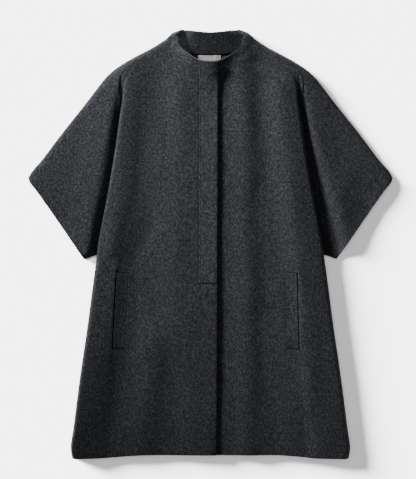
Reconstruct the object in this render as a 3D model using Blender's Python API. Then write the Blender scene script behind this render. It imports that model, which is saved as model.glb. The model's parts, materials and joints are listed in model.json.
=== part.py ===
"""A wide wool cape with sleeves cut in one with its body, laid flat on its back.

The frame: +X is the right-hand side of someone looking down at the cape, +Y runs from the hem to
the neck, +Z points up from the surface that it lies on. The origin is on that surface, below the
middle of the cape. Sizes are in millimetres until a point goes into a mesh. A point of a front is
named by its row, which is where the row meets the centre line, and by its share of the way from
there to the row's outer end.
"""

import math

import bmesh
import bpy
from mathutils import Vector

MM = 0.001

# Cloth
CLOTH = 2.5
DOUBLE_CLOTH = 5.0
PLACKET_CLOTH = 4.5
SEAM_GAP = 0.3

# Lengths along the cape, measured on its centre line
PEAK_ALONG = 482.5
RIM_ALONG = 408.7
DOUBLE_FULL = 385.0
DOUBLE_START = 368.0
TIP_ALONG = 148.8
UNDERARM_ALONG = -24.4
HEM_ALONG = -475.5
HEM_DIP = 7.5
HEM_DIP_START = 140.0
HEM_DIP_SPAN = 130.0
HEM_DIP_REACH = -300.0
CUFF_CORNER_DROP = 9.9

# Half widths: the outer edge of the shoulder and sleeve, from the collar's peak to the sleeve's tip
EDGE_COLUMNS = ("along", "across")
UPPER_EDGE = (
    (482.5, 64.4),
    (478.7, 79.0),
    (458.4, 104.2),
    (438.2, 137.5),
    (417.9, 177.5),
    (397.7, 210.8),
    (372.9, 237.4),
    (318.9, 279.7),
    (246.9, 336.8),
    (174.9, 391.3),
    (148.8, 412.0),
)
CUFF_CORNER_ACROSS = 284.6

# The body's own edge: it laps over the sleeve down to the underarm, then it is the side
BODY_EDGE = (
    (378.0, 198.0),
    (330.0, 199.5),
    (267.0, 206.5),
    (130.0, 228.0),
    (53.0, 242.5),
    (0.0, 252.5),
    (-36.6, 257.0),
    (-81.6, 263.3),
    (-189.6, 277.6),
    (-297.6, 293.4),
    (-405.6, 308.0),
    (-459.6, 315.5),
    (-468.0, 316.0),
    (-475.5, 311.0),
)
TOP_EDGE_SHARE = 0.86

# The collar's rim in front, from the centre line to its peak at the side
RIM_COLUMNS = ("share", "across", "along")
RIM = (
    (0.00, 0.0, 408.7),
    (0.16, 18.0, 410.4),
    (0.36, 39.0, 420.0),
    (0.56, 59.0, 434.6),
    (0.74, 72.0, 450.5),
    (0.89, 74.0, 467.5),
    (1.00, 64.4, 482.5),
)
RIM_FADE = 0.085

# Heights of the middle of the cloth above the surface
BODY_REST = 13.5
SLEEVE_REST = 11.5
EDGE_SEAT = 3.5
UNDERARM_SEAT = 4.2
SIDE_SEAT = 3.2
COLLAR_EDGE_SEAT = 7.4
EDGE_ROUND = 12.0
COLLAR_RISE = 18.0
COLLAR_SIDE_RISE = 9.0
COLLAR_REACH = 80.0
COLLAR_BEND = 1.5

# The valley of the sleeve beside the body, measured out from the body's edge, and its floor's width
# at the top and at the underarm
VALLEY_REST = 4.5
VALLEY_SLOPE = 26.0
VALLEY_COLUMNS = ("side", "top_floor", "low_floor")
VALLEYS = (
    (-1, -6.0, -2.0),
    (1, -2.0, 33.0),
)
VALLEY_TOP = 330.0
SLEEVE_CREST = 5.5
SLEEVE_CREST_OUT = 24.0
SLEEVE_CREST_FADE = 70.0
INWARD_ACROSS = 0.6
INWARD_ALONG = 0.8

# The pleat in which the body laps over the sleeve, and the round of the body's edge
PLEAT_TOP = 388.0
PLEAT_FULL = 290.0
PLEAT_DEPTH = 26.0
PLEAT_LAYER = 4.0
PLEAT_ROUND = 9.0
SIDE_ROUND = 13.0
SIDE_ROUND_TURN = 12.0
ROUND_ANGLES = (90, 50, 0, -50, -90)
FLAT_STEP = 2.6
FULL_WIDTH_ROW = 230.0

# Soft folds in the fronts: a ridge for each row, bowed sideways at its middle, with its width
# towards the centre line and towards the side
FOLD_COLUMNS = (
    "side", "top_across", "top_along", "low_across", "low_along", "bow", "rise", "inner", "outer",
)
FOLDS = (
    (-1, 190.0, 330.0, 298.0, -470.0, -8.0, 10.5, 44.0, 24.0),
    (-1, 66.0, 330.0, 84.0, -200.0, 4.0, 5.5, 30.0, 34.0),
    (-1, 128.0, -210.0, 160.0, -476.0, 0.0, 3.5, 34.0, 40.0),
    (1, 160.0, 330.0, 262.0, -470.0, 0.0, 12.0, 32.0, 66.0),
    (1, 76.0, 350.0, 88.0, -476.0, 4.0, 6.0, 26.0, 24.0),
    (1, 178.0, -210.0, 192.0, -476.0, 0.0, 2.5, 26.0, 30.0),
)
FOLD_FADE = 0.22

# The fronts' fastening edges, measured across from the centre line
OVERLAP_TOP = 16.9
OVERLAP_LOW = 13.3
UNDERLAP = 30.0
PLACKET_SEAM = 26.1
PLACKET_END = -89.0
PLACKET_LIFT = 4.1
FRONT_LIFT = 5.2
LIFT_START = 34.0
LIFT_END = 100.0

# The back neck seam, the collar's back edge and the label
NECK_SEAM_ALONG = 427.0
NECK_SEAM_SIDE = 451.7
BACK_RIM_ALONG = 475.5
NECK_CURVE = 2.2
BACK_RIM_CURVE = 1.35
COLLAR_FLOOR_GAP = 0.4
BACK_RIM_RISE = 12.0
BACK_RIM_FLAT = 0.92
BACK_RIM_SLOPE = 0.5
LABEL_WIDTH = 51.0
LABEL_LENGTH = 38.0
LABEL_CLOTH = 1.0
LABEL_ACROSS = -1.8
LABEL_SEAM_GAP = 1.5

# Pocket welts: the middle of each, and how far it leans out for each millimetre down. Each is set into
# an opening in its front, with a slit on its outer side, between two of the front's columns.
WELT_COLUMNS = ("name", "side", "across", "along", "lean")
WELTS = (
    ("pocket_welt_right", -1, 201.8, -150.5, 0.045),
    ("pocket_welt_left", 1, 183.0, -150.0, 0.028),
)
WELT_LIST = [dict(zip(WELT_COLUMNS, row)) for row in WELTS]
WELT_LENGTH = 170.0
WELT_WIDTH = 26.5
WELT_SLIT = 2.0
WELT_COLUMN = 10
WELT_FADE = 70.0

# How finely the cloth is divided, and how near its neighbours are when a place is searched
ROW_STEP = 24.0
COLLAR_ROWS = (408.7, 404.0, 398.5, 392.0, 385.0, 377.0)
UNDERARM_ROWS = (-24.4, -21.5, -15.0, -4.0)
BODY_COLUMNS = 13
SLEEVE_SHARES = (0.08, 0.16, 0.24, 0.33, 0.46, 0.61, 0.76, 0.88, 0.955, 0.99, 1.0)
OUTLINE_STEPS = 8
SEARCH_STEPS = 30
SEARCH_REACH = 0.85
NEAR_SHARE = 0.01
NEAR_ROW = 2.0
NEAR_EDGE = 4.0

WOOL_COLOR = (0.034, 0.036, 0.041, 1.0)
LABEL_COLOR = (0.72, 0.71, 0.67, 1.0)
CLOTH_ROUGHNESS = 0.95
SHARP_ANGLE = math.radians(30.0)


def smooth(value):
    """Ease from 0 to 1."""
    value = max(0.0, min(1.0, value))
    return value * value * (3.0 - 2.0 * value)


def blend(start, end, share):
    return start + (end - start) * share


def follow(table, at, column=EDGE_COLUMNS.index("across")):
    """Read a table's column at a place in its first one, on a smooth curve that doesn't overshoot."""
    rows = table if table[0][0] < table[-1][0] else table[::-1]
    places = [row[0] for row in rows]
    values = [row[column] for row in rows]
    at = max(places[0], min(places[-1], at))
    steps = [after - before for before, after in zip(places, places[1:])]
    slopes = [(after - before) / step for before, after, step in zip(values, values[1:], steps)]
    tangents = [slopes[0]]
    for before, after in zip(slopes, slopes[1:]):
        tangents.append(0.0 if before * after <= 0.0 else 2.0 * before * after / (before + after))
    tangents.append(slopes[-1])
    index = next(i for i in range(len(steps)) if at <= places[i + 1])
    step = steps[index]
    share = (at - places[index]) / step
    start = (1 + 2 * share) * (1 - share) ** 2 * values[index]
    end = share ** 2 * (3 - 2 * share) * values[index + 1]
    lean = (1 - share) * tangents[index] - share * tangents[index + 1]
    return start + end + share * (1 - share) * step * lean


def outer_point(row):
    """The outer end of a row: on the shoulder and sleeve edge, then on the cuff, then on the side."""
    if row >= TIP_ALONG:
        share = (RIM_ALONG - row) / (RIM_ALONG - TIP_ALONG)
        along = blend(PEAK_ALONG, TIP_ALONG, share)
        return follow(UPPER_EDGE, along), along
    if row >= UNDERARM_ALONG:
        share = (TIP_ALONG - row) / (TIP_ALONG - UNDERARM_ALONG)
        across = blend(UPPER_EDGE[-1][1], CUFF_CORNER_ACROSS, share)
        return across, row - CUFF_CORNER_DROP * share
    return follow(BODY_EDGE, row), row


def row_point(share, row):
    """The plan place at a share of the way from the centre line to a row's outer end."""
    across, along = outer_point(row)
    if row < UNDERARM_ALONG:
        return share * across, row
    if row < TIP_ALONG:
        edge_share = follow(BODY_EDGE, row) / across
        out = max(0.0, (share - edge_share) / (1.0 - edge_share))
        return share * across, blend(row, along, out)
    part = min(1.0, abs(share))
    left = math.exp(-(RIM_ALONG - row) / (RIM_ALONG - TIP_ALONG) / RIM_FADE)
    rim_across = follow(RIM, part, RIM_COLUMNS.index("across"))
    rim_along = follow(RIM, part, RIM_COLUMNS.index("along"))
    bow_across = (rim_across - part * RIM[-1][1]) * left
    bow_along = (rim_along - blend(RIM_ALONG, PEAK_ALONG, part)) * left
    return math.copysign(part * across + bow_across, share), blend(row, along, part) + bow_along


def share_at(across, row):
    """The share of a row at which it is so far across."""
    low, high = -SEARCH_REACH, SEARCH_REACH
    for _ in range(SEARCH_STEPS):
        middle = (low + high) / 2
        if row_point(middle, row)[0] < across:
            low = middle
        else:
            high = middle
    return (low + high) / 2


def edge_distance(across, along, row):
    """How far a plan place lies from the shoulder and sleeve edge, square to that edge."""
    end_across, end_along = outer_point(max(row, TIP_ALONG))
    upper, lower = min(PEAK_ALONG, end_along + NEAR_EDGE), max(TIP_ALONG, end_along - NEAR_EDGE)
    tangent = Vector((follow(UPPER_EDGE, lower) - follow(UPPER_EDGE, upper), lower - upper))
    tangent.normalize()
    return abs((across - end_across) * tangent.y - (along - end_along) * tangent.x)


def fold_rise(side, across, along):
    """What the soft folds add to the height."""
    rise = 0.0
    for row in FOLDS:
        fold = dict(zip(FOLD_COLUMNS, row))
        if fold["side"] != side:
            continue
        share = (fold["top_along"] - along) / (fold["top_along"] - fold["low_along"])
        inside = max(0.0, min(1.0, share))
        middle = blend(fold["top_across"], fold["low_across"], inside)
        middle += fold["bow"] * math.sin(math.pi * inside)
        fade = smooth((share + FOLD_FADE) / FOLD_FADE) * smooth((1.0 + FOLD_FADE - share) / FOLD_FADE)
        width = fold["outer"] if across > middle else fold["inner"]
        rise += fold["rise"] * fade * math.exp(-((across - middle) / width) ** 2)
    return rise


def rounded(height, distance, low):
    """A height brought down to a seam over a rounded edge."""
    share = max(0.0, min(1.0, distance / EDGE_ROUND))
    return low + (height - low) * math.sqrt(1.0 - (1.0 - share) ** 2)


def doubled(row):
    """0 on the fronts, 1 on their collar, where the cloth is doubled."""
    return smooth((row - DOUBLE_START) / (DOUBLE_FULL - DOUBLE_START))


def edge_seat(row):
    """The height of a front's edge where it is sewn to the back, or to the back of the collar."""
    return blend(EDGE_SEAT, COLLAR_EDGE_SEAT, doubled(row))


def body_height(side, across, along, row):
    """The height of the body's cloth, with the collar standing up at the top."""
    height = BODY_REST + fold_rise(side, across, along)
    below_rim = (RIM_ALONG - row) / COLLAR_REACH
    if below_rim < 1.0:
        rise = blend(COLLAR_RISE, COLLAR_SIDE_RISE, smooth(abs(across) / RIM[-2][1]))
        height += rise * (1.0 - below_rim) ** COLLAR_BEND
    return height


def pleat_share(along):
    """0 above the pleat, 1 where it is full."""
    return smooth((PLEAT_TOP - along) / (PLEAT_TOP - PLEAT_FULL))


def sleeve_height(side, across, along, row, edge_across):
    """The height of the sleeve's cloth, low in the valley beside the body."""
    valley = next(dict(zip(VALLEY_COLUMNS, row)) for row in VALLEYS if row[0] == side)
    down = smooth((VALLEY_TOP - along) / (VALLEY_TOP - UNDERARM_ALONG))
    out = across - edge_across - blend(valley["top_floor"], valley["low_floor"], down)
    height = blend(VALLEY_REST, SLEEVE_REST + SLEEVE_CREST, smooth(out / VALLEY_SLOPE))
    height -= SLEEVE_CREST * smooth((out - SLEEVE_CREST_OUT) / SLEEVE_CREST_FADE)
    return blend(body_height(side, across, along, row), height, pleat_share(along))


def body_point(side, share, row):
    """A point on the middle of the body's cloth."""
    across, along = row_point(share, row)
    height = body_height(side, across, along, row)
    if row >= TIP_ALONG:
        height = rounded(height, edge_distance(across, along, row), edge_seat(row))
    if row < UNDERARM_ALONG:
        dip = smooth((abs(across) - HEM_DIP_START) / HEM_DIP_SPAN)
        along -= HEM_DIP * dip * smooth((HEM_DIP_REACH - row) / (HEM_DIP_REACH - HEM_ALONG))
    return Vector((across, along, height))


def sleeve_point(side, share, row, edge_across):
    """A point on the middle of the sleeve's cloth, drawn in by half the cloth at its closed edges."""
    across, along = row_point(share, row)
    height = sleeve_height(side, across, along, row, edge_across)
    upper = edge_distance(across, along, row)
    height = rounded(height, upper, edge_seat(row))
    height = rounded(height, row - UNDERARM_ALONG, UNDERARM_SEAT)
    inset = blend(CLOTH, DOUBLE_CLOTH, doubled(row)) / 2 * (1.0 - smooth(upper / EDGE_ROUND))
    return Vector((across - inset * INWARD_ACROSS, along - inset * INWARD_ALONG, height))


def body_edge(row):
    """The share and the distance across at which a row meets the body's edge."""
    across = outer_point(row)[0]
    limit = TOP_EDGE_SHARE if row >= TIP_ALONG else 1.0
    share = limit
    for _ in range(SEARCH_STEPS):
        share = min(limit, follow(BODY_EDGE, row_point(share, row)[1]) / across)
    return share, row_point(share, row)[0]


def pleat_points(side, row):
    """The points of a row over the body's round edge, under it, and back out along the sleeve."""
    share, edge_across = body_edge(row)
    edge_along = row_point(share, row)[1]
    full = pleat_share(edge_along)
    scale = min(1.0, outer_point(row)[0] / FULL_WIDTH_ROW)
    inner = (edge_across - PLEAT_ROUND) / edge_across * share
    top = body_point(side, inner, row).z
    under = VALLEY_REST + PLEAT_LAYER
    middle, half = (top + under) / 2, (top - under) / 2
    folded = []
    for angle in ROUND_ANGLES:
        turn = math.radians(angle)
        out = PLEAT_ROUND * (math.cos(turn) - 1.0) - CLOTH / 2
        folded.append((out, middle + half * math.sin(turn)))
    folded.append((-PLEAT_DEPTH, under))
    folded.append((-PLEAT_DEPTH - PLEAT_LAYER / 2, (under + VALLEY_REST) / 2))
    folded.append((-PLEAT_DEPTH, VALLEY_REST))
    folded.append((-PLEAT_ROUND, VALLEY_REST))
    folded.append((0.0, sleeve_height(side, edge_across, edge_along, row, edge_across)))
    points = []
    for index, (out, height) in enumerate(folded):
        flat_out = FLAT_STEP * (index - len(folded) / 2) * scale
        flat_share = (edge_across + flat_out) / edge_across * share
        flat = body_point(side, flat_share, row)
        across = edge_across + blend(flat_out, out, full)
        along = row_point(across / edge_across * share, row)[1]
        points.append(Vector((across, along, blend(flat.z, height, full))))
    return points


def side_points(side, row):
    """The points of a row over the body's round side, down to the side seam."""
    across = outer_point(row)[0]
    top = body_point(side, 1.0 - SIDE_ROUND / across, row)
    middle = top.z - SIDE_ROUND_TURN
    points = []
    for angle in ROUND_ANGLES[:3]:
        turn = math.radians(angle)
        out = across - CLOTH / 2 + SIDE_ROUND * (math.cos(turn) - 1.0)
        points.append(Vector((out, top.y, middle + SIDE_ROUND_TURN * math.sin(turn))))
    for share in (0.5, 1.0):
        points.append(Vector((across - CLOTH / 2, top.y, blend(middle, SIDE_SEAT, share))))
    return points


def lift_at(across):
    """How far the upper front is raised off the lower one, square to the cloth."""
    return FRONT_LIFT * (1.0 - smooth((across - LIFT_START) / (LIFT_END - LIFT_START)))


def raised(side, share, row, lift):
    """A body point moved out, square to the cloth."""
    point = body_point(side, share, row)
    along_row = body_point(side, share + NEAR_SHARE, row) - body_point(side, share - NEAR_SHARE, row)
    upper, lower = min(RIM_ALONG, row + NEAR_ROW), max(HEM_ALONG, row - NEAR_ROW)
    along_front = body_point(side, share, upper) - body_point(side, share, lower)
    return point + along_row.cross(along_front).normalized() * lift


def rows_between(start, end):
    """Even rows from one place down to another, both included."""
    count = max(1, round((start - end) / ROW_STEP))
    return [blend(start, end, step / count) for step in range(count + 1)]


def sheet(name, grid, color, cloth, cut=()):
    """A closed wall of cloth about a grid of points, which may have points missing and cells cut out.

    Each point is a pair of its place and the cloth's thickness there. A cell is named by its line
    and its column.
    """
    mesh = bpy.data.meshes.new(name)
    shape = bmesh.new()
    weight = shape.verts.layers.deform.new()
    grown = []
    for line in grid:
        grown.append([])
        for entry in line:
            if entry is None:
                grown[-1].append(None)
                continue
            vert = shape.verts.new(entry[0] * MM)
            vert[weight][0] = entry[1] / cloth
            grown[-1].append(vert)
    for line, (upper, lower) in enumerate(zip(grown, grown[1:])):
        for column in range(len(upper) - 1):
            corners = (upper[column], lower[column], lower[column + 1], upper[column + 1])
            if all(corners) and (line, column) not in cut:
                shape.faces.new(corners)
    loose = [vert for vert in shape.verts if not vert.link_faces]
    bmesh.ops.delete(shape, geom=loose, context="VERTS")
    bmesh.ops.recalc_face_normals(shape, faces=shape.faces)
    if sum(face.normal.z for face in shape.faces) < 0.0:
        bmesh.ops.reverse_faces(shape, faces=shape.faces)
    shape.to_mesh(mesh)
    shape.free()
    item = bpy.data.objects.new(name, mesh)
    bpy.context.collection.objects.link(item)
    item.vertex_groups.new(name="cloth")
    wall = item.modifiers.new("wall", "SOLIDIFY")
    wall.thickness = cloth * MM
    wall.offset = 0.0
    wall.vertex_group = "cloth"
    wall.use_quality_normals = True
    finish(item, color)
    return item


def finish(item, color):
    """Give an object its own material and smooth shading."""
    material = bpy.data.materials.new(item.name + "_cloth")
    material.use_nodes = True
    shader = material.node_tree.nodes["Principled BSDF"]
    shader.inputs["Base Color"].default_value = color
    shader.inputs["Roughness"].default_value = CLOTH_ROUGHNESS
    shader.inputs["Metallic"].default_value = 0.0
    item.data.materials.append(material)
    item.data.shade_smooth()


def placed(side, point, cloth):
    """A grid entry: the point on its own side of the centre line, with the cloth's thickness."""
    return Vector((side * point.x, point.y, point.z)), cloth


def front_edge(row):
    """How far the upper front reaches past the centre line."""
    share = (RIM_ALONG - row) / (RIM_ALONG - HEM_ALONG)
    return blend(OVERLAP_TOP, OVERLAP_LOW, share)


def welt_span(welt, row):
    """How far across the inner and the outer edge of a pocket welt lie at a row."""
    middle = welt["across"] + welt["lean"] * (welt["along"] - row)
    return middle - WELT_WIDTH / 2, middle + WELT_WIDTH / 2


def welt_ends(welt):
    """The rows at which the opening round a pocket welt starts and ends."""
    reach = WELT_LENGTH / 2 + SEAM_GAP
    return welt["along"] + reach, welt["along"] - reach


def fitted(share, start, end, row, welt):
    """A column's share of the way from start to end, with two columns drawn to the welt's opening."""
    top, low = welt_ends(welt)
    beyond = max(0.0, row - top, low - row)
    if beyond >= WELT_FADE:
        return blend(start, end, share)
    across = outer_point(row)[0]
    inner, outer = welt_span(welt, row)
    knots = (
        (0.0, start),
        (WELT_COLUMN / BODY_COLUMNS, (inner - SEAM_GAP) / across),
        ((WELT_COLUMN + 1) / BODY_COLUMNS, (outer + WELT_SLIT) / across),
        (1.0, end),
    )
    before, after = next(pair for pair in zip(knots, knots[1:]) if share <= pair[1][0])
    drawn = blend(before[1], after[1], (share - before[0]) / (after[0] - before[0]))
    return blend(drawn, blend(start, end, share), smooth(beyond / WELT_FADE))


def front(name, side):
    """A front with its sleeve and its part of the collar, in one piece of cloth."""
    upper_front = side < 0
    placket_row = PLACKET_END - SEAM_GAP / 2
    welt = next(welt for welt in WELT_LIST if welt["side"] == side)
    welt_top, welt_low = welt_ends(welt)
    rows = list(COLLAR_ROWS)
    rows += rows_between(COLLAR_ROWS[-1] - ROW_STEP / 2, UNDERARM_ROWS[-1] + ROW_STEP / 2)
    rows += sorted(UNDERARM_ROWS, reverse=True)
    stations = (UNDERARM_ALONG - ROW_STEP / 2, welt_top, placket_row, welt_low, HEM_ALONG)
    rows.append(stations[0])
    for before, after in zip(stations, stations[1:]):
        rows += rows_between(before, after)[1:]
    first_column = 2 if upper_front else 0
    cut = set()
    for line, row in enumerate(rows):
        if welt_low < row <= welt_top:
            cut.add((line, first_column + WELT_COLUMN))
    grid = []
    for row in rows:
        cloth = blend(CLOTH, DOUBLE_CLOTH, doubled(row))
        beside_placket = upper_front and row > placket_row + SEAM_GAP
        turned = pleat_points(side, row) if row >= UNDERARM_ALONG else side_points(side, row)
        line = []
        if upper_front:
            for across in (-front_edge(row), blend(-front_edge(row), PLACKET_SEAM, 0.5)):
                share = share_at(across, row)
                line.append(placed(side, raised(side, share, row, lift_at(across)), cloth))
            start = share_at(PLACKET_SEAM + SEAM_GAP / 2, row)
        else:
            start = share_at(-UNDERLAP, row)
        if row < TIP_ALONG:
            end = share_at(turned[0].x, row)
        else:
            edge_share, edge_across = body_edge(row)
            end = turned[0].x / edge_across * edge_share
        for step in range(BODY_COLUMNS):
            share = fitted(step / BODY_COLUMNS, start, end, row, welt)
            lift = lift_at(row_point(share, row)[0]) if upper_front else 0.0
            line.append(placed(side, raised(side, share, row, lift), cloth))
        if beside_placket:
            line[0:2] = [None, None]
        line += [placed(side, point, cloth) for point in turned]
        if row >= UNDERARM_ALONG:
            edge_share, edge_across = body_edge(row)
            first = turned[-1].x / edge_across * edge_share
            for part in SLEEVE_SHARES:
                point = sleeve_point(side, blend(first, 1.0, part), row, edge_across)
                line.append(placed(side, point, cloth))
        grid.append(line)
    width = max(len(line) for line in grid)
    grid = [line + [None] * (width - len(line)) for line in grid]
    return sheet(name, grid, WOOL_COLOR, DOUBLE_CLOTH, cut)


def placket():
    """The doubled strip on the upper front that covers the fastening."""
    columns = 3
    rows = list(COLLAR_ROWS)
    rows += rows_between(COLLAR_ROWS[-1] - ROW_STEP / 2, PLACKET_END + SEAM_GAP / 2)
    grid = []
    for row in rows:
        edges = (-front_edge(row), PLACKET_SEAM - SEAM_GAP / 2)
        line = []
        for column in range(columns + 1):
            share = share_at(blend(edges[0], edges[1], column / columns), row)
            lift = PLACKET_LIFT + doubled(row) * (DOUBLE_CLOTH - CLOTH) / 2
            line.append(placed(-1, raised(-1, share, row, lift), PLACKET_CLOTH))
        grid.append(line)
    return sheet("placket", grid, WOOL_COLOR, PLACKET_CLOTH)


def pocket_welt(welt):
    """A strip set into a front, sewn at both ends and on its inner side, and open on its outer side."""
    columns = 4
    grid = []
    for row in rows_between(welt["along"] + WELT_LENGTH / 2, welt["along"] - WELT_LENGTH / 2):
        inner, outer = welt_span(welt, row)
        line = []
        for column in range(columns + 1):
            share = blend(inner, outer, column / columns) / outer_point(row)[0]
            line.append(placed(welt["side"], raised(welt["side"], share, row, 0.0), CLOTH))
        grid.append(line)
    return sheet(welt["name"], grid, WOOL_COLOR, CLOTH)


def neck_seam(across):
    """Where the back of the collar is sewn to the back."""
    half = follow(UPPER_EDGE, NECK_SEAM_SIDE)
    return blend(NECK_SEAM_ALONG, NECK_SEAM_SIDE, (abs(across) / half) ** NECK_CURVE)


def collar_back():
    """The back of the collar, which rises from the neck seam and the sides to the middle of its rim."""
    columns, lines = 20, 5
    grid = []
    for line in range(lines + 1):
        part = line / lines
        side_along = blend(PEAK_ALONG, NECK_SEAM_SIDE, part)
        middle_along = blend(BACK_RIM_ALONG, NECK_SEAM_ALONG, part)
        half = follow(UPPER_EDGE, side_along)
        curve = blend(BACK_RIM_CURVE, NECK_CURVE, part)
        points = []
        for column in range(columns + 1):
            share = 2.0 * column / columns - 1.0
            along = blend(middle_along, side_along, abs(share) ** curve)
            along += SEAM_GAP if line == lines else 0.0
            rise = BACK_RIM_RISE * (1.0 - part) * smooth((BACK_RIM_FLAT - abs(share)) / BACK_RIM_SLOPE)
            height = COLLAR_FLOOR_GAP + DOUBLE_CLOTH / 2 + rise
            points.append((Vector((share * half, along, height)), DOUBLE_CLOTH))
        grid.append(points)
    return sheet("collar_back", grid, WOOL_COLOR, DOUBLE_CLOTH)


def back_outline():
    """The right-hand half of the back's outline, from the middle of the neck to that of the hem."""
    neck_half = follow(UPPER_EDGE, NECK_SEAM_SIDE)
    outline = []
    for step in range(OUTLINE_STEPS):
        across = neck_half * step / OUTLINE_STEPS
        outline.append((across, neck_seam(across)))
    for row in rows_between(NECK_SEAM_SIDE, TIP_ALONG):
        outline.append((follow(UPPER_EDGE, row), row))
    outline.append((CUFF_CORNER_ACROSS, UNDERARM_ALONG - CUFF_CORNER_DROP))
    outline.append((follow(BODY_EDGE, UNDERARM_ALONG), UNDERARM_ALONG))
    for row in rows_between(UNDERARM_ALONG - ROW_STEP / 2, HEM_ALONG):
        point = body_point(1, 1.0, row)
        outline.append((point.x, point.y))
    for step in range(1, OUTLINE_STEPS + 1):
        point = body_point(1, 1.0 - step / OUTLINE_STEPS, HEM_ALONG)
        outline.append((point.x, point.y))
    return outline


def back():
    """The back with the backs of both sleeves, flat on the surface."""
    right = back_outline()
    outline = right + [(-across, along) for across, along in reversed(right[1:-1])]
    mesh = bpy.data.meshes.new("back")
    shape = bmesh.new()
    verts = [shape.verts.new((across * MM, along * MM, 0.0)) for across, along in outline]
    face = shape.faces.new(verts)
    if face.normal.z > 0.0:
        face.normal_flip()
    grown = bmesh.ops.extrude_face_region(shape, geom=[face])
    raised_verts = [item for item in grown["geom"] if isinstance(item, bmesh.types.BMVert)]
    bmesh.ops.translate(shape, vec=(0.0, 0.0, CLOTH * MM), verts=raised_verts)
    bmesh.ops.recalc_face_normals(shape, faces=shape.faces)
    shape.to_mesh(mesh)
    shape.free()
    item = bpy.data.objects.new("back", mesh)
    bpy.context.collection.objects.link(item)
    finish(item, WOOL_COLOR)
    item.data.set_sharp_from_angle(angle=SHARP_ANGLE)
    return item


def label():
    """A blank woven label on the inside of the back, below the neck seam."""
    top = NECK_SEAM_ALONG - LABEL_SEAM_GAP
    height = CLOTH + SEAM_GAP + LABEL_CLOTH / 2
    grid = []
    for down in (0.0, 0.5, 1.0):
        along = top - LABEL_LENGTH * down
        edges = (LABEL_ACROSS - LABEL_WIDTH / 2, LABEL_ACROSS, LABEL_ACROSS + LABEL_WIDTH / 2)
        grid.append([(Vector((across, along, height)), LABEL_CLOTH) for across in edges])
    return sheet("label", grid, LABEL_COLOR, LABEL_CLOTH)


def main():
    for item in list(bpy.data.objects):
        bpy.data.objects.remove(item, do_unlink=True)
    back()
    front("front_right", -1)
    front("front_left", 1)
    collar_back()
    placket()
    for welt in WELT_LIST:
        pocket_welt(welt)
    label()


main()
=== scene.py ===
"""The looks of a wide felted-wool cape that lies flat on its back.

Every panel is a thin shell on the form of its own solid, with soft creases, a rounded cut edge and
melange wool. Stitches and the short nap follow the shells. Sizes in tables are in millimetres, in the
frame's own axes: across is +X, along is +Y towards the neck, and heights are +Z.
"""

import json
import math

import bmesh
import bpy
from bpy.props import FloatProperty, FloatVectorProperty, IntProperty, PointerProperty
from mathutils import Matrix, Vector, noise
from mathutils.bvhtree import BVHTree
from mathutils.kdtree import KDTree

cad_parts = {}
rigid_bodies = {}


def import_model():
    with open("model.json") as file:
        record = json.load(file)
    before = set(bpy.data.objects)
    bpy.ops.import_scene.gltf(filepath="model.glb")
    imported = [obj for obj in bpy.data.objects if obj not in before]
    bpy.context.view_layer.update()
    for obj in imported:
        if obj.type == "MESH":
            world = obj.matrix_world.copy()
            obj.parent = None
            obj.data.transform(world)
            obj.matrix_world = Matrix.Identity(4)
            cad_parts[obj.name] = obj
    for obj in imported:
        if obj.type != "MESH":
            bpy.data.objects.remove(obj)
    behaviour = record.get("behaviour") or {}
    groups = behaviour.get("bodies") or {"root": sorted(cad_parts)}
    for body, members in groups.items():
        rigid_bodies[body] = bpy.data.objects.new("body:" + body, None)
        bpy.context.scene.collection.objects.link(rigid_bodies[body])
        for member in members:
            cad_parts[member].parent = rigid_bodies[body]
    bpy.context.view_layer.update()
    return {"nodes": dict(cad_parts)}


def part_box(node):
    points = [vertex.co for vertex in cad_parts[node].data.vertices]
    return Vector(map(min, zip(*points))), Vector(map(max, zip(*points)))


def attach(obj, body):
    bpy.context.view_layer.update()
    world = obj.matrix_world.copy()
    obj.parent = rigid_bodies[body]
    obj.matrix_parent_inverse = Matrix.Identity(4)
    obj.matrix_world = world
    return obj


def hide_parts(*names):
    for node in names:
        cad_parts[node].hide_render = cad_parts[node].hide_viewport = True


bl_info = {
    "name": "Wool cape",
    "version": (1, 0, 0),
    "blender": (4, 5, 0),
    "location": "View3D > Sidebar > Cape",
    "description": "Cloth, seams, nap and studio for a wide wool cape laid flat",
    "category": "Object",
}

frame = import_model()
MM = 0.001
ROOT = "root"

# The shells: creased rims keep the cut edges square, then a small bevel rounds them, and the points
# move in a few rounds until the smooth surface passes through the CAD's
MERGE_DISTANCE = 0.00001
QUAD_FACE_ANGLE = math.radians(50.0)
QUAD_SHAPE_ANGLE = math.radians(70.0)
RIM_ANGLE = math.radians(60.0)
CORNER_ANGLE = math.radians(32.0)
ROUND_ANGLE = math.radians(48.0)
EDGE_SEGMENTS = 2
FIT_ROUNDS = 3
FIT_SHARE = 0.8

# Where the cloth is low, at its seams and in the valleys beside the body, creases fade out
LOW_HEIGHT = 6.4
SETTLE_WIDTH = 26.0
COLLAR_START = 352.0
COLLAR_WIDTH = 34.0

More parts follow.
